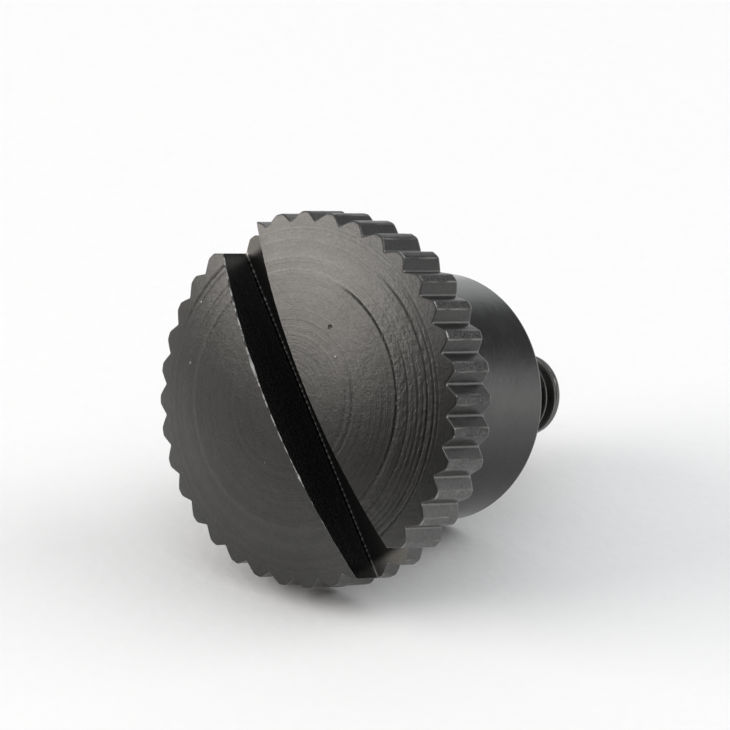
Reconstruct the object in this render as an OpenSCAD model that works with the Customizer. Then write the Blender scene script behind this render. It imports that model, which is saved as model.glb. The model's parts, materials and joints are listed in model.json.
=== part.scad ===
// Knurled thumb screw with a crowned, slotted head, a plain shoulder and a short threaded stud.
// It is turned from one bar, so it is one solid. It lies as it comes to rest on a table:
// on two crests of the rim and on the end of the shoulder, with the stud clear of the table.
// The row frame has +Y along the screw from head to stud, +Z up and the table at z = 0.

/* [Head] */
// Diameter over the crests of the knurled rim
head_d = 18; // [15:0.5:26]
// Width of the knurled rim along the screw
rim_w = 2.8; // [2:0.1:5]
// Height of the crowned face above the front edge of the rim
crown_h = 1.5; // [0.8:0.1:2.4]
// Bevel on the back edge of the rim
rim_bevel = 0.15; // [0.05:0.05:0.4]

/* [Knurl] */
// Number of teeth round the rim
teeth = 36; // [24:1:44]
// Depth of the grooves between the teeth
groove_depth = 0.45; // [0.2:0.05:0.6]
// Angle between the two flanks of a groove
groove_angle = 90; // [70:5:100]
// Length over which the edge of a crest is rounded
crest_round = 0.14; // [0.05:0.01:0.16]

/* [Slot] */
// Width of the slot across the head
slot_w = 2.4; // [1.2:0.1:3.4]
// Depth of the slot below the top of the crown
slot_depth = 3.1; // [1.8:0.1:3.6]
// Turn of the slot from upright, anticlockwise as the face is looked at
slot_turn = 42; // [0:1:180]

/* [Shoulder] */
// Diameter of the shoulder
shoulder_d = 12; // [8:0.5:14]
// Length of the shoulder from the rim to the seat
shoulder_len = 8; // [4:0.5:14]
// Bevel on the end of the shoulder
shoulder_bevel = 0.15; // [0.05:0.05:0.5]

/* [Stud] */
// Outside diameter of the thread
stud_d = 4; // [3:0.5:6]
// Length of the stud from the seat to its tip
stud_len = 7.2; // [5:0.1:20]
// Bevel on the tip of the stud
tip_bevel = 0.5; // [0.3:0.1:1]

/* [Hidden] */
$fn = 96;

// The screw's own frame: z runs from head to stud, z = 0 is the front edge of the rim, -y faces the table.
head_r = head_d / 2;
shoulder_r = shoulder_d / 2;
stud_r = stud_d / 2;
crown_r = (head_r * head_r + crown_h * crown_h) / (2 * crown_h);
seat_z = rim_w + shoulder_len;
tip_z = seat_z + stud_len;
root_z = rim_w / 2;
cut_room = 1;

// Knurl: the grooves are set from the table upwards, so the screw rests between two crests.
tooth_turn = 360 / teeth;
valley_r = head_r - groove_depth;
flank_turn = groove_angle / 2;
flank_len = sqrt(head_r ^ 2 - (valley_r * sin(flank_turn)) ^ 2) - valley_r * cos(flank_turn);
crest_edge = atan2(flank_len * sin(flank_turn), valley_r + flank_len * cos(flank_turn));
round_turn = crest_round / head_r * 180 / PI;
ROUND_STEPS = 3;

function polar(r, turn) = r * [cos(turn), sin(turn)];

// A point on a groove's flank, at a length up from the bottom of the groove
function flank_point(groove, side, length) =
    polar(valley_r, groove) + length * polar(1, groove + side * flank_turn);

// The rounded edge of a crest: a curve from the flank (u = 0) on to the crest (u = 1)
function crest_curve(groove, side, u) =
    let (from = flank_point(groove, side, flank_len - crest_round),
         corner = flank_point(groove, side, flank_len),
         to = polar(head_r, groove + side * (crest_edge + round_turn)))
    (1 - u) ^ 2 * from + 2 * u * (1 - u) * corner + u ^ 2 * to;

steps = [for (i = [0 : ROUND_STEPS]) i / ROUND_STEPS];
rim_outline = [
    for (k = [0 : teeth - 1])
        let (groove = k * tooth_turn - 90)
        each concat(
            [polar(valley_r, groove)],
            [for (u = steps) crest_curve(groove, 1, u)],
            [for (u = steps) crest_curve(groove + tooth_turn, -1, 1 - u)])
];

// Lying at rest: the table touches the lowest crests of the rim, and the shoulder or the tip of the stud
rim_reach = max([for (p = rim_outline) -p.y]);
rim_touch_z = rim_w - rim_bevel;
shoulder_touch_z = seat_z - shoulder_bevel;
tip_touch_z = tip_z - tip_bevel;
rest_tilt = min(
    atan((rim_reach - shoulder_r) / (shoulder_touch_z - rim_touch_z)),
    atan((rim_reach - stud_r) / (tip_touch_z - rim_touch_z)));
lift = rim_touch_z * sin(rest_tilt) + rim_reach * cos(rest_tilt);

// The ends of the lying screw along the table, so that it can be centred
crown_turn = asin(head_r / crown_r);
crown_front_y = rest_tilt < crown_turn ? (crown_r - crown_h) * cos(rest_tilt) - crown_r : 0;
front_y = min(crown_front_y, -rim_reach * sin(rest_tilt));
back_y = max(
    tip_z * cos(rest_tilt) + (stud_r - tip_bevel) * sin(rest_tilt),
    tip_touch_z * cos(rest_tilt) + stud_r * sin(rest_tilt));
mid_y = (front_y + back_y) / 2;

// The toothed bar, crowned in front and bevelled behind
module head() {
    blank_h = crown_h + rim_w + cut_room;
    back_r = head_r - rim_bevel;
    intersection() {
        translate([0, 0, rim_w - blank_h]) linear_extrude(blank_h) polygon(rim_outline);
        translate([0, 0, crown_r - crown_h]) sphere(crown_r);
        translate([0, 0, rim_w - blank_h]) cylinder(blank_h, back_r + blank_h, back_r);
    }
}

// Shoulder and stud in one turned profile. The thread is left plain, at its outside diameter.
module shank() {
    rotate(-90) rotate_extrude() polygon([
        [0, root_z],
        [shoulder_r, root_z],
        [shoulder_r, seat_z - shoulder_bevel],
        [shoulder_r - shoulder_bevel, seat_z],
        [stud_r, seat_z],
        [stud_r, tip_z - tip_bevel],
        [stud_r - tip_bevel, tip_z],
        [0, tip_z]]);
}

// The saw cut for a coin or a screwdriver, right across the head with a flat floor
module slot() {
    cut_h = slot_depth + cut_room;
    rotate(-slot_turn)
        translate([-slot_w / 2, -head_d, slot_depth - crown_h - cut_h])
        cube([slot_w, 2 * head_d, cut_h]);
}

// Lays the screw down on the table, centred over the origin
module at_rest() {
    translate([0, -mid_y, lift]) rotate([90 + rest_tilt, 0, 180]) children();
}

module thumb_screw() {
    color([0.17, 0.17, 0.165])
    at_rest()
    difference() {
        union() {
            head();
            shank();
        }
        slot();
    }
}

thumb_screw();
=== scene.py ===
# %% [markdown]
# # A knurled thumb screw in black steel
# The screw is turned from one bar, so it ends up as one mesh. Its shape follows a few rules: a section
# that is turned round an axis, teeth that repeat round the rim, a helix for the thread and one straight
# saw cut. Geometry Nodes make what follows a rule, and a boolean does what the saw did.
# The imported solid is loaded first, because it says where the screw lies and how big it may be.

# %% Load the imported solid
import json
import math

import bmesh
import bpy
from mathutils import Euler, Matrix, Vector, noise


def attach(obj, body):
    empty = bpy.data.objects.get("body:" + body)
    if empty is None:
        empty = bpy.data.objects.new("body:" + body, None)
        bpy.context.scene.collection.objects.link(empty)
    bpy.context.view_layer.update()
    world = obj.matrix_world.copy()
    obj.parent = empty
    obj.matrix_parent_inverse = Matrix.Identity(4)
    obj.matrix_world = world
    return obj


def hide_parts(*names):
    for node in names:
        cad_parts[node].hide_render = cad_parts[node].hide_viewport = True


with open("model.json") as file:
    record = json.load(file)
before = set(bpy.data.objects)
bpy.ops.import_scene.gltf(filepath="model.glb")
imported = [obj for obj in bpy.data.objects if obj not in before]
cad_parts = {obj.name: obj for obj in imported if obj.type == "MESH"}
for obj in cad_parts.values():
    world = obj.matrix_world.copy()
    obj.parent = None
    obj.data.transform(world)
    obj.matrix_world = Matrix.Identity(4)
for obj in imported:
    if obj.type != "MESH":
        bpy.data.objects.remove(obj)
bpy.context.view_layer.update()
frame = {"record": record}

# %% [markdown]
# ## The screw's own frame
# The screw lies tilted on the table, on its rim and on the end of its shoulder. Modelling it tilted would
# be hard, so every shape is made upright in millimetres: z runs from head to stud, z = 0 is the front edge
# of the rim and -y faces the table. One matrix then lays the finished mesh down. The matrix is read from
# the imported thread, so the mesh can't drift away from the solid.

# %% Sizes in millimetres and the matrix that lays the screw down
MM = 0.001
HEAD_R = 9.0
RIM_W = 2.8
RIM_BEVEL = 0.15
CROWN_H = 1.5
CROWN_R = (HEAD_R ** 2 + CROWN_H ** 2) / (2 * CROWN_H)
SHOULDER_R = 6.0
SHOULDER_LEN = 8.0
SHOULDER_BEVEL = 0.15
STUD_LEN = 7.2
SEAT_Z = RIM_W + SHOULDER_LEN
TIP_Z = SEAT_Z + STUD_LEN

thread_mount = next(m for m in frame["record"]["mounts"] if m["name"] == "thread")
STUD_R = thread_mount["dims"]["r_mm"]
screw_axis = Vector(thread_mount["axis"]).normalized()
seat_point = Vector(thread_mount["pos_m"]) - screw_axis * thread_mount["dims"]["length_mm"] / 2 * MM
side_axis = Vector((-1, 0, 0))
up_axis = screw_axis.cross(side_axis)
rim_point = seat_point - screw_axis * SEAT_Z * MM

turn = Matrix((side_axis, up_axis, screw_axis)).transposed()
LAY_DOWN = Matrix.Translation(rim_point) @ turn.to_4x4() @ Matrix.Scale(MM, 4)
print("tilt in degrees:", round(math.degrees(math.asin(-screw_axis.z)), 2))

# %% [markdown]
# ## Small helpers for node trees
# Geometry trees and shader trees share their Math nodes. With these helpers a formula reads from left to
# right, and a value may be a plain number or the output of another node.

# %% Node helpers
def add_node(tree, kind, inputs=None, **settings):
    made = tree.nodes.new(kind)
    for key, value in settings.items():
        setattr(made, key, value)
    for key, value in (inputs or {}).items():
        feed(tree, made.inputs[key], value)
    return made


def feed(tree, socket, value):
    if isinstance(value, bpy.types.NodeSocket):
        tree.links.new(value, socket)
    else:
        socket.default_value = value


def calc(tree, operation, *values):
    return add_node(tree, "ShaderNodeMath", dict(enumerate(values)), operation=operation).outputs[0]


def plus(tree, value, *more):
    for other in more:
        value = calc(tree, "ADD", value, other)
    return value


def times(tree, value, *more):
    for other in more:
        value = calc(tree, "MULTIPLY", value, other)
    return value


def minus(tree, value, taken):
    return calc(tree, "SUBTRACT", value, taken)


def weighted_sum(tree, *pairs):
    return plus(tree, *[times(tree, value, weight) for value, weight in pairs])


def parts(tree, vector):
    """The x, y and z of a vector."""
    return add_node(tree, "ShaderNodeSeparateXYZ", {0: vector}).outputs


def vector_of(tree, x, y, z=0.0):
    return add_node(tree, "ShaderNodeCombineXYZ", {0: x, 1: y, 2: z}).outputs[0]


def noise_at(tree, vector, scale, detail):
    return add_node(tree, "ShaderNodeTexNoise", {
        "Vector": vector, "Scale": scale, "Detail": detail}).outputs[0]


def remap(tree, value, from_low, from_high, to_low, to_high, smooth=False):
    made = add_node(tree, "ShaderNodeMapRange", clamp=True)
    made.interpolation_type = "SMOOTHSTEP" if smooth else "LINEAR"
    for socket, number in zip(made.inputs, (value, from_low, from_high, to_low, to_high)):
        feed(tree, socket, number)
    return made.outputs[0]


def sockets(kind, *names):
    return [(name, "NodeSocket" + kind) for name in names]


def new_tree(name, kind, inputs, outputs):
    """A node group with named sockets, given as (name, socket type) pairs."""
    tree = bpy.data.node_groups.new(name, kind)
    for in_out, wanted in (("INPUT", inputs), ("OUTPUT", outputs)):
        for socket_name, socket_type in wanted:
            tree.interface.new_socket(socket_name, in_out=in_out, socket_type=socket_type)
    return tree, tree.nodes.new("NodeGroupInput").outputs, tree.nodes.new("NodeGroupOutput").inputs


print("node helpers ready for Blender", bpy.app.version_string)

# %% [markdown]
# ## From a tree to a plain mesh
# A Geometry Nodes tree only shows its result through a modifier. The values are set on the modifier by each
# socket's identifier, because names may repeat. Then the evaluated result is kept as a mesh of its own and
# the modifier goes, so that what follows works on plain faces.

# %% Mesh helpers
def add_object(name, data):
    made = bpy.data.objects.new(name, data)
    bpy.context.scene.collection.objects.link(made)
    return made


def freeze(thing):
    """Turns an object with its modifiers into a plain mesh and removes the modifiers."""
    bpy.context.view_layer.update()
    evaluated = thing.evaluated_get(bpy.context.evaluated_depsgraph_get())
    mesh = bpy.data.meshes.new_from_object(evaluated)
    thing.modifiers.clear()
    thing.data = mesh
    return thing


def run_tree(name, tree, values):
    """Evaluates a geometry tree with these values and returns the result as a plain mesh object."""
    host = add_object(name, bpy.data.meshes.new(name))
    modifier = host.modifiers.new(name, "NODES")
    modifier.node_group = tree
    for item in tree.interface.items_tree:
        if item.in_out == "INPUT" and item.name in values:
            modifier[item.identifier] = values[item.name]
    made = freeze(host)
    if made.data.materials[0] is None:
        made.data.materials.pop(index=0)
    print(f"{name}: {len(made.data.vertices)} points, {len(made.data.polygons)} faces")
    return made


# %% [markdown]
# ## Coordinates that follow the lathe
# Almost everything on this screw was cut while it spun, so the marks on it follow the axis. This shader
# group turns Object coordinates back into the screw's own frame. It puts out the place in millimetres, the
# place along the axis, the radius, the turn round the axis and the places across and along the slot. Each
# finish builds its marks on these values.

# %% Shader group: lathe coordinates
SLOT_TURN = math.radians(42)
UNLAY = LAY_DOWN.inverted()


def make_lathe_coordinates():
    outputs = [*sockets("Vector", "Position"),
               *sockets("Float", "Along", "Radius", "Around", "Across slot", "Along slot")]
    tree, _, out = new_tree("lathe coordinates", "ShaderNodeTree", [], outputs)
    place = add_node(tree, "ShaderNodeTexCoord").outputs["Object"]
    own = add_node(tree, "ShaderNodeMapping", {
        "Vector": place, "Location": UNLAY.to_translation(), "Rotation": UNLAY.to_euler(),
        "Scale": (1 / MM, 1 / MM, 1 / MM)}, vector_type="POINT").outputs[0]
    x, y, z = parts(tree, own)
    radius = calc(tree, "SQRT", plus(tree, times(tree, x, x), times(tree, y, y)))
    around = calc(tree, "ARCTAN2", x, y)
    across_slot = weighted_sum(tree, (x, math.cos(SLOT_TURN)), (y, -math.sin(SLOT_TURN)))
    along_slot = weighted_sum(tree, (x, math.sin(SLOT_TURN)), (y, math.cos(SLOT_TURN)))
    for socket, value in zip(out, (own, z, radius, around, across_slot, along_slot)):
        tree.links.new(value, socket)
    return tree


LATHE = make_lathe_coordinates()
print("shader group made:", LATHE.name)

# %% [markdown]
# ## Tool lines, specks and cloudy oxide
# Three effects appear on more than one surface. Tool lines are the fine grooves that a cutting tip leaves:
# noise that reads one number only, so it repeats all the way round. Specks are grains of dust and pits:
# small dots round the points of a Voronoi texture, of which a random few are kept. Cloudy oxide is the
# slow change of tone of a blackened surface. Each is a group, placed in a material with its own values.

# %% Shader groups: tool lines, specks, cloudy oxide
def make_tool_lines():
    inputs = sockets("Float", "Place", "Around", "Lines per mm", "Drift")
    tree, into, out = new_tree("tool lines", "ShaderNodeTree", inputs, sockets("Float", "Height"))
    sway = times(tree, calc(tree, "SINE", into["Around"]), into["Drift"])
    counted = times(tree, plus(tree, into["Place"], sway), into["Lines per mm"])
    fine = add_node(tree, "ShaderNodeTexNoise", {
        "W": counted, "Detail": 3.0, "Roughness": 0.65, "Scale": 1.0}, noise_dimensions="1D")
    tree.links.new(fine.outputs[0], out["Height"])
    return tree


def make_specks():
    inputs = [*sockets("Vector", "Position"), *sockets("Float", "Per mm", "Kept share", "Size")]
    tree, into, out = new_tree("specks", "ShaderNodeTree", inputs, sockets("Float", "Mask"))
    cells = add_node(tree, "ShaderNodeTexVoronoi", {"Vector": into["Position"], "Scale": into["Per mm"]})
    chance = add_node(tree, "ShaderNodeSeparateColor", {0: cells.outputs["Color"]}).outputs
    kept = calc(tree, "LESS_THAN", chance[0], into["Kept share"])
    size = times(tree, into["Size"], plus(tree, times(tree, chance[1], 0.8), 0.4))
    dot = remap(tree, calc(tree, "DIVIDE", cells.outputs["Distance"], size), 0.5, 1.0, 1.0, 0.0)
    tree.links.new(times(tree, dot, kept), out["Mask"])
    return tree


def make_cloudy_oxide():
    inputs = [*sockets("Vector", "Position"), *sockets("Float", "Per mm")]
    tree, into, out = new_tree("cloudy oxide", "ShaderNodeTree", inputs, sockets("Float", "Shade"))
    cloud = add_node(tree, "ShaderNodeTexNoise", {
        "Vector": into["Position"], "Scale": into["Per mm"], "Detail": 4.0, "Roughness": 0.6})
    tree.links.new(remap(tree, cloud.outputs[0], 0.3, 0.7, 0.0, 1.0), out["Shade"])
    return tree


TOOL_LINES = make_tool_lines()
SPECKS = make_specks()
CLOUDY_OXIDE = make_cloudy_oxide()
print("shader groups made:", TOOL_LINES.name, SPECKS.name, CLOUDY_OXIDE.name)

# %% [markdown]
# ## Six finishes of one steel
# The whole screw is blackened steel, but each tool left its own surface: rings on the turned crown, dented
# crests on the knurl, a black saw cut with a rubbed edge, a finely turned shoulder and a thread. Black
# oxide is a thin film on metal, so the shader is metallic with a dark colour, and most of the light on it
# comes from what it reflects. Some light and shade is painted into the colours too. Values that are the same
# all over are set on the shader itself. Groups only feed what changes.

# %% Material helpers
# Oxide black and bare steel. Both also serve as painted shade and painted highlights.
OXIDE_BLACK_AND_SHADE = (0.030, 0.030, 0.029, 1)
STEEL_WORN_AND_HIGHLIGHT = (0.34, 0.33, 0.31, 1)


def place_group(tree, group, inputs):
    return add_node(tree, "ShaderNodeGroup", inputs, node_tree=group).outputs


def tool_lines(tree, place, around, per_mm, drift=0.0):
    return place_group(tree, TOOL_LINES, {
        "Place": place, "Around": around, "Lines per mm": per_mm, "Drift": drift})["Height"]


def specks(tree, position, per_mm, kept_share, size):
    return place_group(tree, SPECKS, {
        "Position": position, "Per mm": per_mm, "Kept share": kept_share, "Size": size})["Mask"]


def cloudy(tree, position, per_mm):
    return place_group(tree, CLOUDY_OXIDE, {"Position": position, "Per mm": per_mm})["Shade"]


def new_finish(name):
    """A material with its shader and the lathe coordinates, ready for marks."""
    material = bpy.data.materials.new(name)
    material.use_nodes = True
    tree = material.node_tree
    shader = tree.nodes["Principled BSDF"]
    shader.inputs["Metallic"].default_value = 0.95
    return material, tree, shader.inputs, place_group(tree, LATHE, {})


def mix_colour(tree, share, low, high):
    made = add_node(tree, "ShaderNodeMix", data_type="RGBA")
    feed(tree, made.inputs["Factor"], share)
    feed(tree, made.inputs[6], low)
    feed(tree, made.inputs[7], high)
    return made.outputs[2]


def bump(tree, height, strength, depth_mm):
    return add_node(tree, "ShaderNodeBump", {
        "Height": height, "Strength": strength, "Distance": depth_mm * MM}).outputs[0]


def line_at(tree, value, place, half_width):
    """A soft line that is 1 where a value has this place, and 0 beyond the half width."""
    off = calc(tree, "ABSOLUTE", minus(tree, value, place))
    return remap(tree, off, 0.0, half_width, 1.0, 0.0, smooth=True)


def dot_at(tree, position, place, radius):
    """A soft dot round a place."""
    away = add_node(tree, "ShaderNodeVectorMath", {0: position, 1: place}, operation="DISTANCE")
    return remap(tree, away.outputs["Value"], 0.4 * radius, radius, 1.0, 0.0, smooth=True)


print("steel from oxide black", OXIDE_BLACK_AND_SHADE[:3], "to worn", STEEL_WORN_AND_HIGHLIGHT[:3])

# %% [markdown]
# ### Rings on the crown
# A pointed tip was fed across the face while the bar spun, so it left rings. Noise would put them anywhere,
# but the deep ones show where they are, so each is a line at its own radius. The bar ran a little out of
# true, so a ring fades towards the ends of an arc. One group draws one ring, and two tables place it many
# times: dark rings that are cut into the face, and light ridges that stand proud of it.

# %% Shader group: ring mark
RINGS = (
    # radius and half width in mm, depth, middle and half length of the arc in degrees
    (6.06, 0.08, 1.1, -62, 56), (6.08, 0.15, 0.6, -112, 46), (7.62, 0.075, 0.9, -72, 52),
    (7.62, 0.13, 0.45, -112, 40), (7.93, 0.085, 1.0, -92, 50), (7.93, 0.13, 0.4, -118, 36),
    (6.67, 0.11, 0.5, -92, 48), (7.16, 0.12, 0.45, -98, 48), (6.95, 0.09, 0.3, -112, 40),
    (7.40, 0.11, 0.45, -108, 46), (8.15, 0.07, 0.3, -66, 34),
    (3.75, 0.14, 0.35, -95, 46), (3.40, 0.14, 0.3, -102, 46), (4.35, 0.14, 0.22, -110, 40),
    (4.90, 0.14, 0.18, -110, 40), (5.40, 0.14, 0.18, -102, 40),
    (7.95, 0.12, 0.9, 56, 26), (7.64, 0.10, 0.5, 55, 22), (6.88, 0.10, 0.45, 57, 24),
    (6.60, 0.09, 0.3, 57, 22), (6.05, 0.10, 0.7, 59, 22),
)
RIDGES = (
    (8.05, 0.10, 0.5, 12, 42), (7.68, 0.12, 0.7, 15, 36), (6.84, 0.14, 0.8, 14, 38),
    (6.62, 0.10, 0.4, 8, 40), (6.20, 0.10, 0.7, 10, 40), (6.20, 0.10, 0.4, 120, 60),
    (3.85, 0.12, 0.4, -95, 46), (2.60, 0.14, 0.4, 0, 60), (3.20, 0.14, 0.4, -10, 60),
)


def make_ring_mark():
    inputs = sockets("Float", "Radius", "Around", "Ring radius", "Half width", "Depth", "Middle",
                     "Faded cosine")
    tree, into, out = new_tree("ring mark", "ShaderNodeTree", inputs, sockets("Float", "Mask"))
    line = line_at(tree, into["Radius"], into["Ring radius"], into["Half width"])
    near = calc(tree, "COSINE", minus(tree, into["Around"], into["Middle"]))
    full = plus(tree, times(tree, into["Faded cosine"], 0.35), 0.65)
    arc = remap(tree, near, into["Faded cosine"], full, 0.0, into["Depth"], smooth=True)
    tree.links.new(times(tree, line, arc), out["Mask"])
    return tree


RING_MARK = make_ring_mark()


def ring_marks(tree, radius, around, rings):
    marks = [place_group(tree, RING_MARK, {
        "Radius": radius, "Around": around, "Ring radius": ring, "Half width": half_width, "Depth": depth,
        "Middle": math.radians(middle), "Faded cosine": math.cos(math.radians(half_length))})["Mask"]
        for ring, half_width, depth, middle, half_length in rings]
    return plus(tree, *marks)


print("shader group made:", RING_MARK.name, "for", len(RINGS), "rings and", len(RIDGES), "ridges")

# %% [markdown]
# ### The turned crown
# Noise that follows the turn makes the rings uneven. On one side the tip also tore the steel between them:
# lumps that are longer round the face than across it. Inside the deepest ring the face is a little darker.
# Towards the table the face is painted darker again, as painted shade. A few dust grains and one pit have
# their own places, because they can be seen one by one, and specks add fainter ones.

# %% Finish: turned crown
CROWN_TONES = (0.092, 0.091, 0.088, 1), (0.110, 0.109, 0.106, 1)
RIDGE_LIGHT = (0.17, 0.168, 0.163, 1)
RING_WOBBLE_MM = 0.06
TORN_PER_MM, TORN_PER_RADIAN = 6.0, 18.0
TORN_SIDE = math.radians(-85)
TORN_FROM_MM, TORN_TO_MM, TORN_FADE_MM = 5.9, 7.9, 0.3
INNER_ZONE_MM = 6.08
DUST_GRAINS_MM = (
    # place on the crown, how bright
    ((7.08, 2.95, -0.42), 0.8), ((6.82, -0.01, -0.65), 0.6), ((-2.15, 2.69, -1.29), 0.6),
    ((-4.57, 2.51, -1.01), 0.12),
)
DUST_R_MM = 0.08
PIT_MM = (-1.42, 3.96, -1.18)
PIT_R_MM = 0.14


def torn_steel(tree, radius, around):
    """Noise that follows the turn, and the share of it that stands out as torn lumps on one side."""
    turned = vector_of(tree, times(tree, radius, TORN_PER_MM), times(tree, around, TORN_PER_RADIAN))
    torn = noise_at(tree, turned, 1.0, 2.0)
    band = times(tree, remap(tree, radius, TORN_FROM_MM, TORN_FROM_MM + TORN_FADE_MM, 0.0, 1.0),
                 remap(tree, radius, TORN_TO_MM, TORN_TO_MM + TORN_FADE_MM, 1.0, 0.2))
    facing = calc(tree, "COSINE", minus(tree, around, TORN_SIDE))
    return torn, times(tree, band, remap(tree, facing, 0.3, 0.95, 0.0, 1.0, smooth=True))


def crown_dust(tree, own):
    dust = times(tree, specks(tree, own, 1.6, 0.10, 0.07), 0.6)
    for place, bright in DUST_GRAINS_MM:
        dust = calc(tree, "MAXIMUM", dust, times(tree, dot_at(tree, own, place, DUST_R_MM), bright))
    return dust


def make_crown_finish():
    material, tree, shader, lathe = new_finish("turned crown")
    radius, around, own = lathe["Radius"], lathe["Around"], lathe["Position"]
    coarse = tool_lines(tree, radius, around, 2.2, 0.03)
    fine = tool_lines(tree, radius, around, 11.0, 0.03)
    torn, torn_share = torn_steel(tree, radius, around)
    wobble = plus(tree, radius, times(tree, minus(tree, torn, 0.5), RING_WOBBLE_MM))
    rings = times(tree, ring_marks(tree, wobble, around, RINGS), remap(tree, torn, 0.32, 0.52, 0.4, 1.0))
    ridges = times(tree, ring_marks(tree, wobble, around, RIDGES), remap(tree, torn, 0.35, 0.60, 0.4, 1.0))
    cloud, lumps, grain = (cloudy(tree, own, per_mm) for per_mm in (0.3, 2.6, 8.0))
    dust = crown_dust(tree, own)
    pit = dot_at(tree, own, PIT_MM, PIT_R_MM)

    inner = remap(tree, wobble, INNER_ZONE_MM - 0.08, INNER_ZONE_MM + 0.02, 0.08, 0.0)
    banded = remap(tree, coarse, 0.35, 0.65, 0.10, 0.0)
    # Painted shade: the crown's colour darkens towards the table
    lower = remap(tree, parts(tree, own)[1], -8.0, -3.0, 0.26, 0.0)
    dark = plus(tree, weighted_sum(tree, (lumps, 0.10), (grain, 0.16), (rings, 0.75), (pit, 0.7)),
                inner, banded, lower)
    tone = mix_colour(tree, cloud, *CROWN_TONES)
    tone = mix_colour(tree, times(tree, ridges, 0.35), tone, RIDGE_LIGHT)
    tone = mix_colour(tree, calc(tree, "MINIMUM", dark, 1.0), tone, OXIDE_BLACK_AND_SHADE)
    tree.links.new(mix_colour(tree, dust, tone, STEEL_WORN_AND_HIGHLIGHT), shader["Base Color"])

    roughness = plus(tree, weighted_sum(tree, (fine, 0.12), (grain, 0.06)), 0.25)
    tree.links.new(roughness, shader["Roughness"])
    relief = weighted_sum(tree, (coarse, 0.45), (fine, 0.25), (lumps, 0.30), (grain, 0.18), (rings, -1.3),
                          (ridges, 0.5), (times(tree, torn, torn_share), 1.5), (dust, 1.2), (pit, -1.2))
    tree.links.new(bump(tree, relief, 0.8, 0.02), shader["Normal"])
    return material


CROWN_FINISH = make_crown_finish()
print("finish made:", CROWN_FINISH.name)

# %% [markdown]
# ### The knurled rim
# A wheel pressed the teeth along the rim, so its drag marks run along the teeth and not round the rim.
# Stretching the noise along the axis draws them. The flanks are smooth. The crests are what is left of the
# turned bar: they are dented and dark in patches, and their edges are rubbed to bare metal. The bottom of
# each groove is painted bright, as a painted highlight, and patches of the crests' front edges carry
# painted glints. Masks on the radius say which is which. The wheel also chattered, which left short marks
# across the crests' edges. The side that faces the table is painted lighter, as painted reflection of the
# pale table, and the dents fade towards it.

# %% Finish: knurled rim
GROOVE_DEPTH = 0.45
VALLEY_R = HEAD_R - GROOVE_DEPTH
DRAG_PER_MM = (7.0, 7.0, 0.8)
CHATTER_PER_MM = 7.0
# The tones of a pair: upper side, and the side facing the table, painted lighter as painted reflection
FLANK_TONES = (0.076, 0.076, 0.074, 1), (0.150, 0.149, 0.146, 1)
CREST_TONES = (0.106, 0.105, 0.103, 1), (0.190, 0.188, 0.184, 1)
DENT_BLACK = (0.018, 0.018, 0.017, 1)
# Painted highlight for the bottom of each groove
VALLEY_HIGHLIGHT = (0.24, 0.235, 0.225, 1)


def make_knurl_finish():
    material, tree, shader, lathe = new_finish("knurled rim")
    own, radius, along = lathe["Position"], lathe["Radius"], lathe["Along"]
    height = parts(tree, own)[1]
    crest = remap(tree, radius, HEAD_R - 0.06, HEAD_R - 0.03, 0.0, 1.0, smooth=True)
    edge = line_at(tree, radius, HEAD_R - 0.05, 0.04)
    # Painted highlight: the bottom of each groove
    bottom = remap(tree, radius, VALLEY_R + 0.01, VALLEY_R + 0.04, 0.6, 0.0)
    front = remap(tree, along, 0.05, 0.14, 1.0, 0.0)
    # Painted reflection: the side that faces the table is painted lighter
    table_side_light = remap(tree, height, 1.0, -2.0, 0.0, 1.0, smooth=True)

    drawn = add_node(tree, "ShaderNodeMapping", {"Vector": own, "Scale": DRAG_PER_MM}).outputs[0]
    drag = noise_at(tree, drawn, 1.0, 3.0)
    patchy, grain, dents = (cloudy(tree, own, per_mm) for per_mm in (0.9, 6.0, 9.0))
    dented = times(tree, crest, remap(tree, patchy, 0.25, 0.75, 0.4, 1.0),
                   remap(tree, height, -3.0, 5.0, 0.5, 1.0))
    ripple = calc(tree, "SINE", times(tree, along, math.tau * CHATTER_PER_MM))
    chatter = times(tree, remap(tree, ripple, 0.0, 0.6, 0.0, 1.0), edge, patchy)

    tone = mix_colour(tree, crest, mix_colour(tree, table_side_light, *FLANK_TONES),
                      mix_colour(tree, table_side_light, *CREST_TONES))
    dark_dents = times(tree, dented, remap(tree, dents, 0.30, 0.72, 0.8, 0.0))
    tone = mix_colour(tree, dark_dents, tone, DENT_BLACK)
    tone = mix_colour(tree, times(tree, grain, 0.35), tone, OXIDE_BLACK_AND_SHADE)
    tone = mix_colour(tree, bottom, tone, VALLEY_HIGHLIGHT)
    rubbed = times(tree, edge, remap(tree, drag, 0.45, 0.64, 0.0, 0.75))
    flecks = times(tree, dented, remap(tree, dents, 0.86, 0.98, 0.0, 0.5))
    # Painted glints on the crests' front edges, in patches, joined with the rubbed edges and dents
    glint = times(tree, front, crest, remap(tree, patchy, 0.45, 0.7, 0.0, 0.9))
    bare_and_glint = calc(tree, "MAXIMUM", calc(tree, "MAXIMUM", rubbed, flecks), glint)
    tone = mix_colour(tree, bare_and_glint, tone, STEEL_WORN_AND_HIGHLIGHT)
    tone = mix_colour(tree, times(tree, chatter, 0.6), tone, OXIDE_BLACK_AND_SHADE)
    tone = mix_colour(tree, specks(tree, own, 2.0, 0.06, 0.08), tone, STEEL_WORN_AND_HIGHLIGHT)
    tree.links.new(tone, shader["Base Color"])

    tree.links.new(remap(tree, drag, 0.3, 0.7, 0.28, 0.40), shader["Roughness"])
    relief = weighted_sum(tree, (drag, 0.4), (grain, 0.4), (chatter, -0.9),
                          (times(tree, dented, dents), 0.6))
    tree.links.new(bump(tree, relief, 0.5, 0.03), shader["Normal"])
    return material


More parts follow.
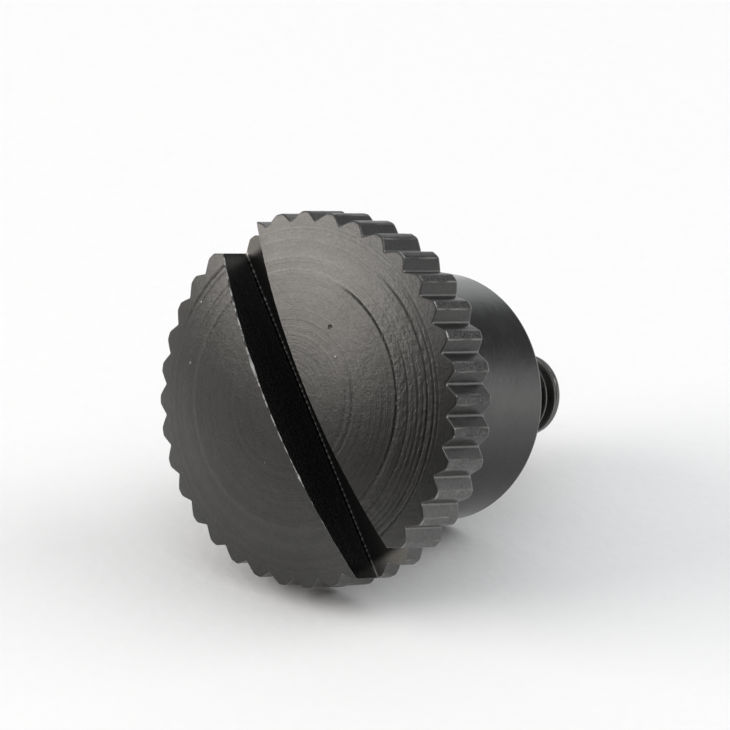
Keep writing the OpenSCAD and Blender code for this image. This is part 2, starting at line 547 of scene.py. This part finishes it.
KNURL_FINISH = make_knurl_finish()
print("finish made:", KNURL_FINISH.name)

# %% [markdown]
# ### The turned shoulder
# The shoulder was turned with a fine feed, so its lines follow the place along the axis, and the radius on
# its end. Faint scuffs follow the turn. The side that faces the table is painted darker, as painted shade,
# and a soft band of painted shade lies along its lower half.

# %% Finish: turned shoulder
SHOULDER_TONES = (0.096, 0.096, 0.094, 1), (0.118, 0.118, 0.116, 1)
SHOULDER_SHADE = (0.042, 0.042, 0.041, 1)
SCUFFS_PER_MM, SCUFFS_PER_RADIAN = 15.0, 9.0
SHADE_BAND_MM = -2.2
SHADE_BAND_HALF_W_MM = 2.2


def make_shoulder_finish():
    material, tree, shader, lathe = new_finish("turned shoulder")
    own, around = lathe["Position"], lathe["Around"]
    place = plus(tree, lathe["Along"], lathe["Radius"])
    height = parts(tree, own)[1]
    lines = tool_lines(tree, place, around, 7.0, 0.02)
    cloud, lumps, grain = (cloudy(tree, own, per_mm) for per_mm in (0.5, 1.0, 4.0))
    turned = vector_of(tree, times(tree, place, SCUFFS_PER_MM), times(tree, around, SCUFFS_PER_RADIAN))
    scuffs = times(tree, remap(tree, noise_at(tree, turned, 1.0, 3.0), 0.54, 0.72, 0.0, 0.2), cloud,
                   remap(tree, height, 0.0, 2.0, 0.0, 1.0))

    # Painted shade: darker towards the table, with a painted dark band
    lower = remap(tree, height, -3.5, 1.5, 0.75, 0.0)
    band = line_at(tree, height, SHADE_BAND_MM, SHADE_BAND_HALF_W_MM)
    dark = plus(tree, lower, weighted_sum(tree, (grain, 0.18), (band, 0.3)))
    tone = mix_colour(tree, cloud, *SHOULDER_TONES)
    tone = mix_colour(tree, calc(tree, "MINIMUM", dark, 1.0), tone, SHOULDER_SHADE)
    tone = mix_colour(tree, scuffs, tone, STEEL_WORN_AND_HIGHLIGHT)
    tone = mix_colour(tree, specks(tree, own, 1.8, 0.05, 0.06), tone, STEEL_WORN_AND_HIGHLIGHT)
    tree.links.new(tone, shader["Base Color"])

    roughness = plus(tree, remap(tree, lines, 0.3, 0.7, 0.18, 0.21), times(tree, scuffs, 0.3))
    tree.links.new(roughness, shader["Roughness"])
    relief = weighted_sum(tree, (lines, 0.14), (grain, 0.15), (lumps, 0.5))
    tree.links.new(bump(tree, relief, 0.5, 0.010), shader["Normal"])
    return material


SHOULDER_FINISH = make_shoulder_finish()
print("finish made:", SHOULDER_FINISH.name)

# %% [markdown]
# ### The saw cut and its edge
# The saw cut is black: its floor is painted black, as painted shade, because little light finds its way in.
# A row of bright dots is painted along the corners of the floor, as painted highlights, which a sine wave
# counts out and noise makes uneven. Both ends of the floor, which lie open, are painted light, as painted
# reflection, and the walls are darker towards those ends. A burr stands along the edges of the cut. It is
# rubbed to bare metal in places, and most of all at one scuff.

# %% Finishes: saw cut, rubbed edge
SLOT_W = 2.4
SLOT_FLOOR_Z = 3.1 - CROWN_H
WALL_TONES = (0.160, 0.160, 0.157, 1), (0.185, 0.185, 0.181, 1)
DOTS_PER_MM = 3.4
DOTS_UNEVEN = 9.0
DOT_HALF_W_MM = 0.18
EDGE_TONES = (0.08, 0.080, 0.077, 1), (0.50, 0.495, 0.48, 1)
SCUFF_MM = 2.4
SCUFF_HALF_LEN_MM = 0.9


def make_slot_finish():
    material, tree, shader, lathe = new_finish("saw cut")
    along, around, along_slot = lathe["Along"], lathe["Around"], lathe["Along slot"]
    lines = tool_lines(tree, along, around, 5.0)
    uneven = tool_lines(tree, along_slot, around, 1.3)
    beat = weighted_sum(tree, (along_slot, math.tau * DOTS_PER_MM), (uneven, DOTS_UNEVEN))
    # Painted highlights: bright dots along the corners of the floor
    highlight_dots = times(tree, remap(tree, calc(tree, "SINE", beat), -0.1, 0.5, 0.0, 1.0),
                 remap(tree, uneven, 0.35, 0.65, 0.1, 0.6))
    from_middle = calc(tree, "ABSOLUTE", lathe["Across slot"])
    corner = times(tree, line_at(tree, along, SLOT_FLOOR_Z, DOT_HALF_W_MM),
                   line_at(tree, from_middle, SLOT_W / 2, DOT_HALF_W_MM), highlight_dots)
    # Painted shade: the floor of the cut is painted black
    floor = remap(tree, along, SLOT_FLOOR_Z - 0.18, SLOT_FLOOR_Z - 0.10, 0.0, 1.0)
    to_end = calc(tree, "ABSOLUTE", along_slot)
    ends = remap(tree, to_end, HEAD_R - 1.0, HEAD_R - 0.5, 0.0, 0.75, smooth=True)

    tone = mix_colour(tree, lines, *WALL_TONES)
    tone = mix_colour(tree, ends, tone, OXIDE_BLACK_AND_SHADE)
    tone = mix_colour(tree, floor, tone, OXIDE_BLACK_AND_SHADE)
    # Painted reflection: the open ends of the floor are painted light
    tone = mix_colour(tree, times(tree, floor, ends), tone, STEEL_WORN_AND_HIGHLIGHT)
    tree.links.new(mix_colour(tree, corner, tone, STEEL_WORN_AND_HIGHLIGHT), shader["Base Color"])
    tree.links.new(remap(tree, lines, 0.3, 0.7, 0.24, 0.30), shader["Roughness"])
    return material


def make_edge_finish():
    material, tree, shader, lathe = new_finish("rubbed edge")
    patches = remap(tree, cloudy(tree, lathe["Position"], 2.4), 0.35, 0.65, 0.0, 1.0)
    scuff = line_at(tree, lathe["Along slot"], SCUFF_MM, SCUFF_HALF_LEN_MM)
    rubbed = calc(tree, "MAXIMUM", patches, scuff)
    tree.links.new(mix_colour(tree, rubbed, *EDGE_TONES), shader["Base Color"])
    tree.links.new(remap(tree, rubbed, 0.0, 1.0, 0.42, 0.32), shader["Roughness"])
    return material


SLOT_FINISH = make_slot_finish()
EDGE_FINISH = make_edge_finish()
print("finishes made:", SLOT_FINISH.name, EDGE_FINISH.name)

# %% [markdown]
# ### The finish of the thread
# The thread is blackened like the rest. Its crests are painted brighter: partly rubbed by nuts, partly a
# painted highlight. The radius alone says where a crest is, so one mask on it is enough.

# %% Finish: thread
THREAD_DEPTH = 0.43
THREAD_TONES = (0.050, 0.050, 0.048, 1), (0.14, 0.137, 0.13, 1)


def make_thread_finish():
    material, tree, shader, lathe = new_finish("thread")
    # Crests painted brighter: rubbed by nuts and a painted highlight
    crest = remap(tree, lathe["Radius"], STUD_R - THREAD_DEPTH * 0.25, STUD_R, 0.0, 1.0, smooth=True)
    cloud = cloudy(tree, lathe["Position"], 2.0)
    tree.links.new(mix_colour(tree, crest, *THREAD_TONES), shader["Base Color"])
    tree.links.new(remap(tree, cloud, 0.0, 1.0, 0.26, 0.36), shader["Roughness"])
    tree.links.new(bump(tree, cloud, 0.25, 0.02), shader["Normal"])
    return material


THREAD_FINISH = make_thread_finish()
print("finish made:", THREAD_FINISH.name)

# %% [markdown]
# ## The section
# A turned part is its section. The section here is a chain of points from the top of the crown, over the
# rim and down the shoulder to the middle of the seat. A Screw modifier could turn it, but not cut teeth in
# it, so the chain is only an input of the next tree. Two attributes say how each point behaves: on_crown
# points measure their z from the crown's sphere, and knurled points follow the teeth. Each rounded edge
# has a point close to either side of it, because a long face would else shade as if it were bent.

# %% Section of head and shoulder
EDGE_BREAK = 0.06
EDGE_GUARD = 0.04
CROWN_ROWS = 22
RIM_ROWS = 14
CROWN_PLAIN_R = VALLEY_R - 0.2


def edge_points(radius, z, size, along):
    """Points that round the edge at this radius and z; along is +1 where the chain turns on to a side."""
    soft = 0.3 * size
    wide = size + EDGE_GUARD
    chain = [(radius - wide, z), (radius - size, z), (radius - soft, z + along * soft),
             (radius, z + along * size), (radius, z + along * wide)]
    return chain if along > 0 else chain[::-1]


def make_section():
    """The chain, with the row numbers between which the knurl's and the shoulder's finishes begin."""
    crown = [(CROWN_PLAIN_R * i / CROWN_ROWS, 0.0, 1.0, 0.0) for i in range(CROWN_ROWS + 1)]
    front = [(r, z, 1.0, 1.0) for r, z in edge_points(HEAD_R, 0.0, EDGE_BREAK, 1)]
    back = [(r, z, 0.0, 1.0) for r, z in edge_points(HEAD_R, RIM_W, RIM_BEVEL, -1)]
    rim_from, rim_to = front[-1][1], back[0][1]
    rim = [(HEAD_R, rim_from + (rim_to - rim_from) * i / RIM_ROWS, 0.0, 1.0) for i in range(1, RIM_ROWS)]
    end = edge_points(SHOULDER_R, SEAT_Z, SHOULDER_BEVEL, -1)
    shoulder = [(r, z, 0.0, 0.0) for r, z in [(SHOULDER_R, RIM_W), *end, (0, SEAT_Z)]]
    rows = crown + front + rim + back + shoulder
    mesh = bpy.data.meshes.new("section")
    mesh.from_pydata([(r, 0, z) for r, z, _, _ in rows], [(i, i + 1) for i in range(len(rows) - 1)], [])
    for name, column in (("on_crown", 2), ("knurled", 3)):
        values = [row[column] for row in rows]
        mesh.attributes.new(name, "FLOAT", "POINT").data.foreach_set("value", values)
    first_knurl = len(crown) + 1.5
    first_shoulder = len(rows) - len(shoulder) - 0.5
    return add_object("section", mesh), first_knurl, first_shoulder


section, first_knurl_row, first_shoulder_row = make_section()
print("section:", len(section.data.vertices), "points")

# %% [markdown]
# ## A grid round an axis
# The body and the thread are both made from a flat grid. One side of the grid is taken as the turn round
# the axis and the other as the place along it. Merge by Distance then sews the seam.

# %% Helpers for turned shapes
SEWING_MM = 0.0005


def grid_place(tree, columns, rows):
    """A grid with the turn (0 to 1) and the row number of each of its points."""
    grid = add_node(tree, "GeometryNodeMeshGrid", {
        "Size X": 1.0, "Size Y": 1.0, "Vertices X": columns, "Vertices Y": rows})
    x, y, _ = parts(tree, tree.nodes.new("GeometryNodeInputPosition").outputs[0])
    row = calc(tree, "ROUND", times(tree, plus(tree, y, 0.5), minus(tree, rows, 1)))
    return grid.outputs["Mesh"], plus(tree, x, 0.5), row


def round_axis(tree, mesh, turn_share, radius, z):
    """Moves a grid's points round the axis, from the side that faces the table, and sews the seam."""
    angle = times(tree, turn_share, math.tau)
    x = times(tree, radius, calc(tree, "SINE", angle))
    y = times(tree, radius, times(tree, calc(tree, "COSINE", angle), -1))
    moved = add_node(tree, "GeometryNodeSetPosition", {
        "Geometry": mesh, "Position": vector_of(tree, x, y, z)}).outputs[0]
    sewn = add_node(tree, "GeometryNodeMergeByDistance", {"Geometry": moved, "Distance": SEWING_MM})
    return add_node(tree, "GeometryNodeRealizeInstances", {0: sewn.outputs[0]}).outputs[0]


def set_finish(tree, mesh, finish, selection=True):
    return add_node(tree, "GeometryNodeSetMaterial", {
        "Geometry": mesh, "Selection": selection, "Material": finish}).outputs[0]


print("points of a grid are sewn within mm:", SEWING_MM)

# %% [markdown]
# ## Turning and knurling in one tree
# The tree bends a grid into the section's shape. The teeth are a formula for the turn: how far a place is
# from the middle of its crest, and so how deep its groove is. The groove's half width sets how steep its
# flanks are. Smooth Maximum rounds the crest's edges and Smooth Minimum the bottom of the groove. Columns
# crowd towards the grooves, where the shape bends most, and a little noise wears the teeth unevenly.
# Copies of a modelled tooth would need 36 clean joins. This needs none.

# %% Geometry tree: turned and knurled body
TEETH = 36
COLUMNS_PER_TOOTH = 24
CREST_ROUND = 0.08
VALLEY_ROUND = 0.06
VALLEY_FLAT = 0.03
GROOVE_HALF_W = 0.59
CROWDING = 0.5
TOOTH_WEAR = 0.014
TOOTH_WEAR_PER_MM = 1.6


def groove_depth(tree, into, in_tooth):
    """How deep the groove is at a place in its tooth, from 0 to 1 with the crest's middle at 0.5."""
    pitch = calc(tree, "DIVIDE", times(tree, into["Head radius"], math.tau), into["Teeth"])
    from_crest = times(tree, calc(tree, "ABSOLUTE", minus(tree, in_tooth, 0.5)), pitch)
    half_crest = minus(tree, times(tree, pitch, 0.5), into["Groove half width"])
    flank_w = minus(tree, into["Groove half width"], into["Valley flat"])
    slope = calc(tree, "DIVIDE", into["Groove depth"], flank_w)
    flank = times(tree, minus(tree, from_crest, half_crest), slope)
    groove = calc(tree, "SMOOTH_MAX", flank, 0.0, into["Crest round"])
    return calc(tree, "SMOOTH_MIN", groove, into["Groove depth"], into["Valley round"])


def tooth_wear(tree, into, turn_share, z):
    """Noise at the place on the rim, so that it has no seam."""
    angle = times(tree, turn_share, math.tau)
    x = times(tree, calc(tree, "SINE", angle), into["Head radius"])
    y = times(tree, calc(tree, "COSINE", angle), into["Head radius"])
    return times(tree, noise_at(tree, vector_of(tree, x, y, z), into["Wear per mm"], 2.0), into["Wear"])


def make_body_tree():
    inputs = [*sockets("Object", "Section"), *sockets("Int", "Teeth", "Columns per tooth"),
              *sockets("Float", "Head radius", "Groove depth", "Groove half width", "Crest round",
                       "Valley round", "Valley flat", "Crowding", "Wear", "Wear per mm", "Crown height",
                       "Crown radius", "First knurl row", "First shoulder row"),
              *sockets("Material", "Crown finish", "Knurl finish", "Shoulder finish")]
    tree, into, out = new_tree("turned and knurled body", "GeometryNodeTree", inputs,
                               sockets("Geometry", "Geometry"))
    chain = add_node(tree, "GeometryNodeObjectInfo", {"Object": into["Section"]}).outputs["Geometry"]
    rows = add_node(tree, "GeometryNodeAttributeDomainSize", {"Geometry": chain}).outputs["Point Count"]
    columns = plus(tree, times(tree, into["Teeth"], into["Columns per tooth"]), 1)
    mesh, turn_share, row = grid_place(tree, columns, rows)

    kept = add_node(tree, "GeometryNodeCaptureAttribute")
    kept.capture_items.new("FLOAT", "Row")
    tree.links.new(mesh, kept.inputs[0])
    tree.links.new(row, kept.inputs[1])
    mesh, kept_row = kept.outputs[0], kept.outputs[1]

    def from_chain(value, data_type):
        made = add_node(tree, "GeometryNodeSampleIndex", data_type=data_type)
        tree.links.new(chain, made.inputs["Geometry"])
        tree.links.new(value, made.inputs["Value"])
        tree.links.new(row, made.inputs["Index"])
        return made.outputs[0]

    def chain_value(name):
        named = add_node(tree, "GeometryNodeInputNamedAttribute", {"Name": name}, data_type="FLOAT")
        return from_chain(named.outputs[0], "FLOAT")

    chain_point = from_chain(tree.nodes.new("GeometryNodeInputPosition").outputs[0], "FLOAT_VECTOR")
    chain_radius, _, chain_z = parts(tree, chain_point)

    even = times(tree, turn_share, into["Teeth"])
    wave = calc(tree, "SINE", times(tree, even, math.tau))
    crowded = minus(tree, even, times(tree, wave, calc(tree, "DIVIDE", into["Crowding"], math.tau)))
    turn_share = calc(tree, "DIVIDE", crowded, into["Teeth"])
    groove = groove_depth(tree, into, calc(tree, "FRACT", crowded))
    groove = plus(tree, groove, tooth_wear(tree, into, turn_share, chain_z))
    radius = minus(tree, chain_radius, times(tree, groove, chain_value("knurled")))

    crown_square = times(tree, into["Crown radius"], into["Crown radius"])
    below_middle = calc(tree, "SQRT", minus(tree, crown_square, times(tree, radius, radius)))
    sphere_z = minus(tree, minus(tree, into["Crown radius"], into["Crown height"]), below_middle)
    z = plus(tree, chain_z, times(tree, sphere_z, chain_value("on_crown")))

    made = round_axis(tree, mesh, turn_share, radius, z)
    made = set_finish(tree, made, into["Crown finish"])
    for zone in ("knurl", "shoulder"):
        beyond = calc(tree, "GREATER_THAN", kept_row, into[f"First {zone} row"])
        made = set_finish(tree, made, into[f"{zone.capitalize()} finish"], beyond)
    tree.links.new(made, out["Geometry"])
    return tree


screw = run_tree("thumb_screw_body", make_body_tree(), {
    "Section": section, "Teeth": TEETH, "Columns per tooth": COLUMNS_PER_TOOTH, "Head radius": HEAD_R,
    "Groove depth": GROOVE_DEPTH, "Groove half width": GROOVE_HALF_W, "Crest round": CREST_ROUND,
    "Valley round": VALLEY_ROUND, "Valley flat": VALLEY_FLAT, "Crowding": CROWDING, "Wear": TOOTH_WEAR,
    "Wear per mm": TOOTH_WEAR_PER_MM, "Crown height": CROWN_H, "Crown radius": CROWN_R,
    "First knurl row": first_knurl_row, "First shoulder row": first_shoulder_row,
    "Crown finish": CROWN_FINISH, "Knurl finish": KNURL_FINISH, "Shoulder finish": SHOULDER_FINISH})
bpy.data.objects.remove(section)

# %% [markdown]
# ## The thread
# A thread is the same idea with a twist: the rows of the grid climb by one pitch per turn, so the end of
# each row meets the row one pitch higher, and sewing joins them into one helix. Rows that lie past an end
# close it, and the bevel of the tip is a cone that the thread can't reach past. The groove runs out just
# before the tip, which stays plain. A Screw modifier makes a helix too, but leaves its ends open.

# %% Geometry tree: thread
THREAD_PITCH = 0.7
THREAD_COLUMNS = 72
ROWS_PER_PITCH = 16
SPARE_TURNS = 2
CREST_FLAT, ROOT_FLAT_FROM = 1 / 16, 6 / 16
TIP_BEVEL = 0.4
TIP_ROUND = 0.15
TIP_PLAIN = 0.64
THREAD_FULL_FROM = 0.80
THREAD_ROOTED = 0.4


def make_thread_tree():
    inputs = [*sockets("Float", "Outside radius", "Depth", "Pitch", "Start", "End", "Tip bevel", "Tip round",
                       "Tip plain", "Full from"),
              *sockets("Int", "Columns", "Rows per pitch"), *sockets("Material", "Finish")]
    tree, into, out = new_tree("thread", "GeometryNodeTree", inputs, sockets("Geometry", "Geometry"))
    turns = calc(tree, "DIVIDE", minus(tree, into["End"], into["Start"]), into["Pitch"])
    turns = plus(tree, calc(tree, "CEIL", turns), 2 * SPARE_TURNS)
    rows = plus(tree, times(tree, turns, into["Rows per pitch"]), 1)
    mesh, turn_share, row = grid_place(tree, into["Columns"], rows)

    climbed = calc(tree, "DIVIDE", row, into["Rows per pitch"])
    rise = times(tree, minus(tree, plus(tree, climbed, turn_share), SPARE_TURNS), into["Pitch"])
    raw_z = plus(tree, into["Start"], rise)
    z = calc(tree, "MINIMUM", calc(tree, "MAXIMUM", raw_z, into["Start"]), into["End"])
    to_end = minus(tree, into["End"], z)
    from_crest = calc(tree, "PINGPONG", climbed, 0.5)
    groove = times(tree, remap(tree, from_crest, CREST_FLAT, ROOT_FLAT_FROM, 0.0, into["Depth"]),
                   remap(tree, to_end, into["Tip plain"], into["Full from"], 0.0, 1.0, smooth=True))
    cone = plus(tree, minus(tree, into["Outside radius"], into["Tip bevel"]), to_end)
    radius = calc(tree, "SMOOTH_MIN", minus(tree, into["Outside radius"], groove), cone, into["Tip round"])
    last_z = plus(tree, into["End"], times(tree, into["Pitch"], 0.5))
    inside = times(tree, calc(tree, "GREATER_THAN", raw_z, into["Start"]),
                   calc(tree, "LESS_THAN", raw_z, last_z))

    made = round_axis(tree, mesh, turn_share, times(tree, radius, inside), z)
    tree.links.new(set_finish(tree, made, into["Finish"]), out["Geometry"])
    return tree


thread = run_tree("thread_tool", make_thread_tree(), {
    "Outside radius": STUD_R, "Depth": THREAD_DEPTH, "Pitch": THREAD_PITCH, "Start": SEAT_Z - THREAD_ROOTED,
    "End": TIP_Z, "Tip bevel": TIP_BEVEL, "Tip round": TIP_ROUND, "Tip plain": TIP_PLAIN,
    "Full from": THREAD_FULL_FROM, "Columns": THREAD_COLUMNS + 1, "Rows per pitch": ROWS_PER_PITCH,
    "Finish": THREAD_FINISH})

# %% [markdown]
# ## The saw cut
# The slot is cut by a blade-shaped mesh. Its mouth flares a little, so the cut breaks its own edges, as a
# burr that was rubbed down does on the real screw. The edges lie on the crown, so the flare follows the
# crown's curve: the blade is built from many stations along the slot. The flare is larger on one side,
# fades towards the lower end and is made uneven by noise, and a few nicks widen it.

# %% Blade for the saw cut
SLOT_CORNER = 0.08
FLARE = {1: 0.045, -1: 0.02}
FLARE_IN_MIDDLE, FLARE_PER_MM = 0.9, 0.12
FLARE_LEAST, FLARE_MOST = 0.12, 1.2
FLARE_UNEVEN, FLARE_WAVES_PER_MM, FLARE_SIDES_APART = 0.6, 2.3, 5.0
FLARE_REACH = 4
# place along the slot and depth
NICKS_MM = ((2.44, 0.07), (2.9, 0.03), (2.0, 0.03), (-3.47, 0.07))
NICK_HALF_LEN_MM = 0.35
BLADE_STATIONS = 160
BLADE_HALF_LEN = HEAD_R + 0.6
BLADE_TOP_Z = -CROWN_H - 1
# Sides of the blade's outline that are flared, counted from its floor
FLARED_SIDES = (5, 9)


def crown_z(radius):
    return CROWN_R - CROWN_H - math.sqrt(CROWN_R ** 2 - min(radius, HEAD_R) ** 2)


def blade_side(place, side):
    """One side of the blade's section at a place along the slot, from floor to top, as (across, z)."""
    half = SLOT_W / 2
    edge_z = crown_z(math.hypot(place, half))
    share = min(max(FLARE_IN_MIDDLE + FLARE_PER_MM * place, FLARE_LEAST), FLARE_MOST)
    waves = noise.noise((place * FLARE_WAVES_PER_MM, side * FLARE_SIDES_APART, 0))
    flare = FLARE[side] * share * (1 + FLARE_UNEVEN * waves)
    if side > 0:
        flare += sum(depth * max(0, 1 - abs(place - nick) / NICK_HALF_LEN_MM) for nick, depth in NICKS_MM)
    corner = [(half - SLOT_CORNER * (1 - math.sin(a)), SLOT_FLOOR_Z - SLOT_CORNER * (1 - math.cos(a)))
              for a in (0, math.pi / 4, math.pi / 2)]
    corner = [(half - SLOT_CORNER - EDGE_GUARD, SLOT_FLOOR_Z), *corner,
              (half, SLOT_FLOOR_Z - SLOT_CORNER - EDGE_GUARD)]
    wide = half + FLARE_REACH * flare
    mouth = [(half, edge_z + flare), (wide, edge_z + flare - FLARE_REACH * flare), (wide, BLADE_TOP_Z)]
    return [(side * across, z) for across, z in corner + mouth]


def make_blade():
    shape = bmesh.new()
    along = Vector((math.sin(SLOT_TURN), math.cos(SLOT_TURN), 0))
    across = Vector((math.cos(SLOT_TURN), -math.sin(SLOT_TURN), 0))
    rings = []
    for i in range(BLADE_STATIONS + 1):
        place = BLADE_HALF_LEN * (2 * i / BLADE_STATIONS - 1)
        outline = blade_side(place, 1) + blade_side(place, -1)[::-1]
        rings.append([shape.verts.new(along * place + across * x + Vector((0, 0, z))) for x, z in outline])
    for ring, following in zip(rings, rings[1:]):
        for i in range(len(ring)):
            j = (i + 1) % len(ring)
            face = shape.faces.new((ring[i], ring[j], following[j], following[i]))
            face.material_index = 1 if i in FLARED_SIDES else 0
    shape.faces.new(rings[0])
    shape.faces.new(rings[-1])
    mesh = bpy.data.meshes.new("saw_blade")
    shape.to_mesh(mesh)
    shape.free()
    mesh.materials.append(SLOT_FINISH)
    mesh.materials.append(EDGE_FINISH)
    return add_object("saw_blade", mesh)


blade = make_blade()
print("saw blade:", len(blade.data.polygons), "faces")

# %% [markdown]
# ## One piece of steel
# The thread is joined to the body and the slot is cut by exact booleans, so the result is one closed skin,
# with each face still in the finish of the tool that made it. Then the mesh is laid down on the table and
# its hard edges are marked by angle, so that rounded edges shade smoothly and cut ones stay crisp.

# %% Join, cut and lay down
HARD_EDGE = math.radians(32)


def cut_with(thing, tool, operation):
    modifier = thing.modifiers.new(operation.lower(), "BOOLEAN")
    modifier.object = tool
    modifier.operation = operation
    modifier.solver = "EXACT"
    modifier.material_mode = "TRANSFER"


def point_outwards(thing):
    shape = bmesh.new()
    shape.from_mesh(thing.data)
    bmesh.ops.recalc_face_normals(shape, faces=shape.faces)
    open_edges = sum(not edge.is_manifold for edge in shape.edges)
    shape.to_mesh(thing.data)
    print(f"{thing.name}: volume {shape.calc_volume(signed=True):.1f}, open edges {open_edges}")
    shape.free()


for solid in (screw, thread, blade):
    point_outwards(solid)
cut_with(screw, thread, "UNION")
cut_with(screw, blade, "DIFFERENCE")
freeze(screw)
bpy.data.objects.remove(thread)
bpy.data.objects.remove(blade)
point_outwards(screw)
screw.data.transform(LAY_DOWN)
for face in screw.data.polygons:
    face.use_smooth = True
screw.data.set_sharp_from_angle(angle=HARD_EDGE)
screw.name = screw.data.name = "knurled_thumb_screw"
print("finishes on the screw:", [m and m.name for m in screw.data.materials])

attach(screw, "root")
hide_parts("thumb_screw")

# %% [markdown]
# ## Table
# The screw lies on a pale sheet: a wide plane with a faint grain, lit like everything else, so it keeps the
# screw's shadow. In front, beyond the picture, the sheet is painted dark, as painted shade that stands for a
# dim room there. The crown mirrors what lies there, and a white sheet would make its lower half pale. The
# change is soft, so it leaves no edge when seen from behind.

# %% Pale table
TABLE_HALF_M = 3.0
SHEET_TONES = (0.93, 0.93, 0.93, 1), (0.96, 0.96, 0.96, 1)
SHEET_GRAIN_PER_M = 1400.0
PAINTED_SHADE_FRONT = (0.06, 0.06, 0.06, 1)
FADE_FROM_M, FADE_TO_M = -0.035, -0.075


def make_sheet_finish():
    material = bpy.data.materials.new("pale sheet")
    material.use_nodes = True
    tree = material.node_tree
    shader = tree.nodes["Principled BSDF"].inputs
    place = add_node(tree, "ShaderNodeTexCoord").outputs["Object"]
    grain = noise_at(tree, place, SHEET_GRAIN_PER_M, 3.0)
    # Painted shade: the sheet turns dark in front
    fade = remap(tree, parts(tree, place)[1], FADE_FROM_M, FADE_TO_M, 0.0, 1.0, smooth=True)
    tone = mix_colour(tree, fade, mix_colour(tree, grain, *SHEET_TONES), PAINTED_SHADE_FRONT)
    tree.links.new(tone, shader["Base Color"])
    tree.links.new(bump(tree, grain, 0.25, 0.15), shader["Normal"])
    shader["Roughness"].default_value = 0.8
    return material


def make_table():
    shape = bmesh.new()
    bmesh.ops.create_grid(shape, x_segments=1, y_segments=1, size=TABLE_HALF_M)
    mesh = bpy.data.meshes.new("table")
    shape.to_mesh(mesh)
    shape.free()
    mesh.materials.append(make_sheet_finish())
    return add_object("table", mesh)


table = make_table()
print("table half width in m:", TABLE_HALF_M)

# %% [markdown]
# ## Light
# Blackened steel only shows by what it reflects, so the light is made of large soft shapes. A wide panel
# stands in front and to the left, above the screw, and draws the slow gradient on the crown. A weaker one
# behind to the right lights the shoulder and picks out the edges. The room is dark at eye level in front,
# which keeps the slot and the grooves black. It has a pale ceiling and is pale behind, where a sheet would
# rise.

# %% Panels and room
# Heights, and places to the back, are parts of a direction of length 1
CEILING_HEIGHTS, CEILING_LIGHT = (0.42, 0.66), (0.05, 0.79)
RISE_HEIGHTS, RISE_LIGHT = (0.12, 0.27), (0.95, 0.05)
RISE_BACK = (-0.1, 0.4)
RISE_LEAN = 0.2
ROOM_COLOUR = (0.985, 1.0, 1.015, 1)


def make_panel(name, place_mm, size_mm, watts, colour, roll):
    lamp = bpy.data.lights.new(name, "AREA")
    lamp.shape = "RECTANGLE"
    lamp.size, lamp.size_y = (side * MM for side in size_mm)
    lamp.energy = watts
    lamp.color = colour
    made = add_object(name, lamp)
    made.location = Vector(place_mm) * MM
    facing = (-made.location).to_track_quat("-Z", "Y").to_matrix()
    made.rotation_euler = (facing @ Matrix.Rotation(roll, 3, "Z")).to_euler()


def make_room():
    world = bpy.data.worlds.new("room")
    bpy.context.scene.world = world
    world.use_nodes = True
    tree = world.node_tree
    tree.nodes.clear()
    right, back, height = parts(tree, add_node(tree, "ShaderNodeTexCoord").outputs["Generated"])
    ceiling = remap(tree, height, *CEILING_HEIGHTS, *CEILING_LIGHT, smooth=True)
    leaning = plus(tree, height, times(tree, right, RISE_LEAN))
    rising = times(tree, remap(tree, leaning, *RISE_HEIGHTS, *RISE_LIGHT, smooth=True),
                   remap(tree, back, *RISE_BACK, 0.0, 1.0, smooth=True))
    room = add_node(tree, "ShaderNodeBackground", {
        "Color": ROOM_COLOUR, "Strength": plus(tree, ceiling, rising)}).outputs[0]
    tree.links.new(room, tree.nodes.new("ShaderNodeOutputWorld").inputs["Surface"])


make_panel("main_panel", place_mm=(-362, -302, 240), size_mm=(550, 260), watts=1.76,
           colour=(1.0, 0.955, 0.915), roll=math.radians(7))
make_panel("back_panel", place_mm=(300, 260, 330), size_mm=(330, 330), watts=0.95,
           colour=(1.0, 1.0, 1.0), roll=0)
make_room()

# %% [markdown]
# ## Camera
# A long lens from the front right, looking down a little. The camera is placed from the middle of the
# rim's front edge, because that point was measured best.

# %% Camera
IMAGE_PX = 730
LENS_PX = 8000
SENSOR_MM = 36.0
VIEW_AZIMUTH = math.radians(41.0)
VIEW_ELEVATION = math.radians(25.6)
VIEW_ROLL = math.radians(-1.85)
RIM_RIGHT_UP_AWAY_MM = Vector((-2.80, -1.65, -381.0))


def make_camera():
    lens = bpy.data.cameras.new("camera")
    lens.sensor_width = SENSOR_MM
    lens.lens = SENSOR_MM * LENS_PX / IMAGE_PX
    lens.clip_start, lens.clip_end = 0.01, 20.0
    made = add_object("camera", lens)
    level = Euler((math.pi / 2 - VIEW_ELEVATION, 0, VIEW_AZIMUTH)).to_matrix()
    look = level @ Matrix.Rotation(VIEW_ROLL, 3, "Z")
    place = rim_point - look @ (RIM_RIGHT_UP_AWAY_MM * MM)
    made.matrix_world = Matrix.Translation(place) @ look.to_4x4()
    bpy.context.scene.camera = made
    return made


camera = make_camera()
bpy.context.scene.view_settings.view_transform = "Standard"
print("camera at mm:", [round(x * 1000, 1) for x in camera.location])
